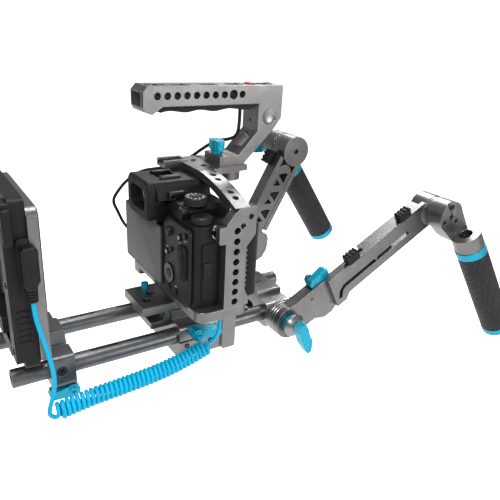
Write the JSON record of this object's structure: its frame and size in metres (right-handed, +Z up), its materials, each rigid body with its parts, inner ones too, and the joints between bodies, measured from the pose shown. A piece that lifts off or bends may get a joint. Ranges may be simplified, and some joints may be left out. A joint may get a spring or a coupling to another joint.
{
  "type": "cinema camera rig",
  "caption": "Mirrorless camera in a half cage on two rods, with top handle, battery mount, curly power cord and adjustable arms with hand grips.",
  "frame": {"origin": "middle of the tripod thread's mouth, on the underside of the base plate", "axes": "+Z up, +Y forward along the rods, the way the lens looks, +X to the operator's right"},
  "size_m": [0.2553, 0.5049, 0.2606],
  "materials": {
    "anodised": "bead-blasted titanium-grey anodised",
    "black_steel": "black oxide",
    "blue": "satin blue anodised",
    "black_plastic": "fine textured",
    "gold": "gold plated",
    "blue_cord": "smooth satin jacket",
    "camera_black": "crackle-painted",
    "black_rubber": "matte",
    "grip_leather": "leather-grained",
    "screen_glass": "anti-glare screen",
    "red": "gloss",
    "black_cable": "satin jacket",
    "grip_rubber": "dimpled"
  },
  "bodies": {
    "root": {"base_plate": "anodised", "battery_backplate": "anodised", "battery_mount": "black_plastic", "cage_base": "anodised", "cage_side": "anodised", "cage_top": "anodised", "camera_body": "camera_black", "camera_grip": "grip_leather", "contact_block": "black_plastic", "contact_pins": "gold", "dovetail_plate": "anodised", "eyecup": "black_rubber", "handle_body": "anodised", "handle_clamp": "anodised", "handle_rubber": "black_rubber", "lens_mount_cap": "black_plastic", "power_coil": "blue_cord", "power_lead_front": "blue_cord", "power_lead_rear": "blue_cord", "power_plug": "black_plastic", "rear_buttons": "camera_black", "rear_clamp": "anodised", "rig_screws": "black_steel", "rods": "anodised", "trigger_cable": "black_cable", "trigger_plug": "black_plastic", "viewfinder": "camera_black"},
    "rear_clamp_lever": {"rear_clamp_lever": "blue"},
    "base_lever": {"base_lever": "blue"},
    "base_knob": {"base_knob": "blue"},
    "dovetail_latch": {"dovetail_latch": "blue"},
    "battery_release": {"battery_release": "black_plastic"},
    "handle_knob": {"handle_knob": "blue"},
    "record_button": {"record_button": "red"},
    "screen": {"screen": "screen_glass"},
    "mode_dial": {"mode_dial": "black_steel"},
    "rear_dial": {"rear_dial": "black_steel"},
    "control_wheel": {"control_wheel": "black_steel"},
    "shutter_button": {"shutter_button": "black_steel"},
    "card_door": {"card_door": "grip_leather"},
    "front_clamp": {"front_clamp": "anodised"},
    "right_arm": {"right_arm_bar": "anodised"},
    "right_channel": {"right_arm_channel": "anodised", "right_cable_clips": "black_rubber"},
    "right_rosette_lever": {"right_rosette_lever": "blue"},
    "right_slide_lever": {"right_slide_lever": "blue"},
    "right_grip": {"right_grip_bracket": "anodised", "right_grip_screws": "black_steel", "right_grip_sleeve": "grip_rubber", "right_grip_rings": "blue"},
    "left_arm": {"left_arm_bar": "anodised"},
    "left_channel": {"left_arm_channel": "anodised", "left_cable_clips": "black_rubber"},
    "left_rosette_lever": {"left_rosette_lever": "blue"},
    "left_slide_lever": {"left_slide_lever": "blue"},
    "left_grip": {"left_grip_bracket": "anodised", "left_grip_screws": "black_steel", "left_grip_sleeve": "grip_rubber", "left_grip_rings": "blue"},
    "left_lock_lever": {"left_lock_lever": "blue"}
  },
  "joints": [
    {"name": "front_clamp_slide", "type": "slide", "parent": "root", "child": "front_clamp", "axis": [0, 1, 0], "range_m": [-0.01, 0.02]},
    {"name": "right_arm_pitch", "type": "hinge", "parent": "front_clamp", "child": "right_arm", "pos_m": [0.044, 0.08, 0.02], "axis": [1, 0, 0], "range_deg": [-98, 46]},
    {"name": "right_arm_extend", "type": "slide", "parent": "right_arm", "child": "right_channel", "axis": [0, 0.8796, 0.4756], "range_m": [-0.039, 0.012]},
    {"name": "right_grip_pitch", "type": "hinge", "parent": "right_channel", "child": "right_grip", "pos_m": [0.069, 0.24977, 0.1118], "axis": [1, 0, 0], "range_deg": [-70, 110]},
    {"name": "right_rosette_lever_turn", "type": "hinge", "parent": "right_arm", "child": "right_rosette_lever", "pos_m": [0.07, 0.08, 0.02], "axis": [1, 0, 0], "range_deg": [-110, 110]},
    {"name": "right_slide_lever_lift", "type": "hinge", "parent": "right_arm", "child": "right_slide_lever", "pos_m": [0.054, 0.1071, 0.05398], "axis": [1, 0, 0], "range_deg": [0, 60]},
    {"name": "left_arm_pitch", "type": "hinge", "parent": "front_clamp", "child": "left_arm", "pos_m": [-0.044, 0.08, 0.02], "axis": [1, 0, 0], "range_deg": [-131, 13]},
    {"name": "left_arm_extend", "type": "slide", "parent": "left_arm", "child": "left_channel", "axis": [0, 0.4772, 0.8788], "range_m": [0, 0.051]},
    {"name": "left_grip_pitch", "type": "hinge", "parent": "left_channel", "child": "left_grip", "pos_m": [-0.069, 0.15348, 0.15534], "axis": [1, 0, 0], "range_deg": [-70, 110]},
    {"name": "left_rosette_lever_turn", "type": "hinge", "parent": "left_arm", "child": "left_rosette_lever", "pos_m": [-0.07, 0.08, 0.02], "axis": [1, 0, 0], "range_deg": [-110, 110]},
    {"name": "left_slide_lever_lift", "type": "hinge", "parent": "left_arm", "child": "left_slide_lever", "pos_m": [-0.054, 0.08415, 0.06326], "axis": [1, 0, 0], "range_deg": [0, 60]},
    {"name": "left_lock_lever_turn", "type": "hinge", "parent": "left_grip", "child": "left_lock_lever", "pos_m": [-0.095, 0.15348, 0.15534], "axis": [1, 0, 0], "range_deg": [-80, 20]},
    {"name": "rear_clamp_lever_open", "type": "hinge", "parent": "root", "child": "rear_clamp_lever", "pos_m": [0.034, -0.121, 0], "axis": [1, 0, 0], "range_deg": [0, 95]},
    {"name": "base_lever_lift", "type": "hinge", "parent": "root", "child": "base_lever", "pos_m": [0.046, -0.014, 0.028], "axis": [1, 0, 0], "range_deg": [0, 85]},
    {"name": "base_knob_turn", "type": "hinge", "parent": "root", "child": "base_knob", "pos_m": [0.016, 0.035, 0.034], "axis": [0, 1, 0], "range_deg": [-180, 180]},
    {"name": "dovetail_latch_pull", "type": "slide", "parent": "root", "child": "dovetail_latch", "axis": [0, 0, 1], "range_m": [0, 0.003], "stiffness_N_per_m": 250, "springref_m": -0.004},
    {"name": "battery_release_press", "type": "slide", "parent": "root", "child": "battery_release", "axis": [0, 0, 1], "range_m": [-0.004, 0], "stiffness_N_per_m": 300, "springref_m": 0.004},
    {"name": "handle_knob_turn", "type": "hinge", "parent": "root", "child": "handle_knob", "pos_m": [0, 0.0275, 0.18], "axis": [0, 0, 1], "range_deg": [-180, 180]},
    {"name": "record_button_press", "type": "slide", "parent": "root", "child": "record_button", "axis": [0, 0, 1], "range_m": [-0.0008, 0], "stiffness_N_per_m": 400, "springref_m": 0.002},
    {"name": "screen_tilt", "type": "hinge", "parent": "root", "child": "screen", "pos_m": [-0.0175, -0.036, 0.123], "axis": [1, 0, 0], "range_deg": [-90, 0]},
    {"name": "mode_dial_turn", "type": "hinge", "parent": "root", "child": "mode_dial", "pos_m": [0.044, -0.0155, 0.15], "axis": [0, 0, 1], "continuous": true},
    {"name": "rear_dial_turn", "type": "hinge", "parent": "root", "child": "rear_dial", "pos_m": [0.06, -0.018, 0.139], "axis": [0, 0, 1], "continuous": true},
    {"name": "control_wheel_turn", "type": "hinge", "parent": "root", "child": "control_wheel", "pos_m": [0.035, -0.034, 0.086], "axis": [0, 1, 0], "continuous": true},
    {"name": "shutter_button_press", "type": "slide", "parent": "root", "child": "shutter_button", "axis": [0, 0, 1], "range_m": [-0.0005, 0], "stiffness_N_per_m": 200, "springref_m": 0.003},
    {"name": "card_door_open", "type": "hinge", "parent": "root", "child": "card_door", "pos_m": [0.07195, -0.02325, 0.097], "axis": [0, 0, 1], "range_deg": [-100, 0]}
  ]
}
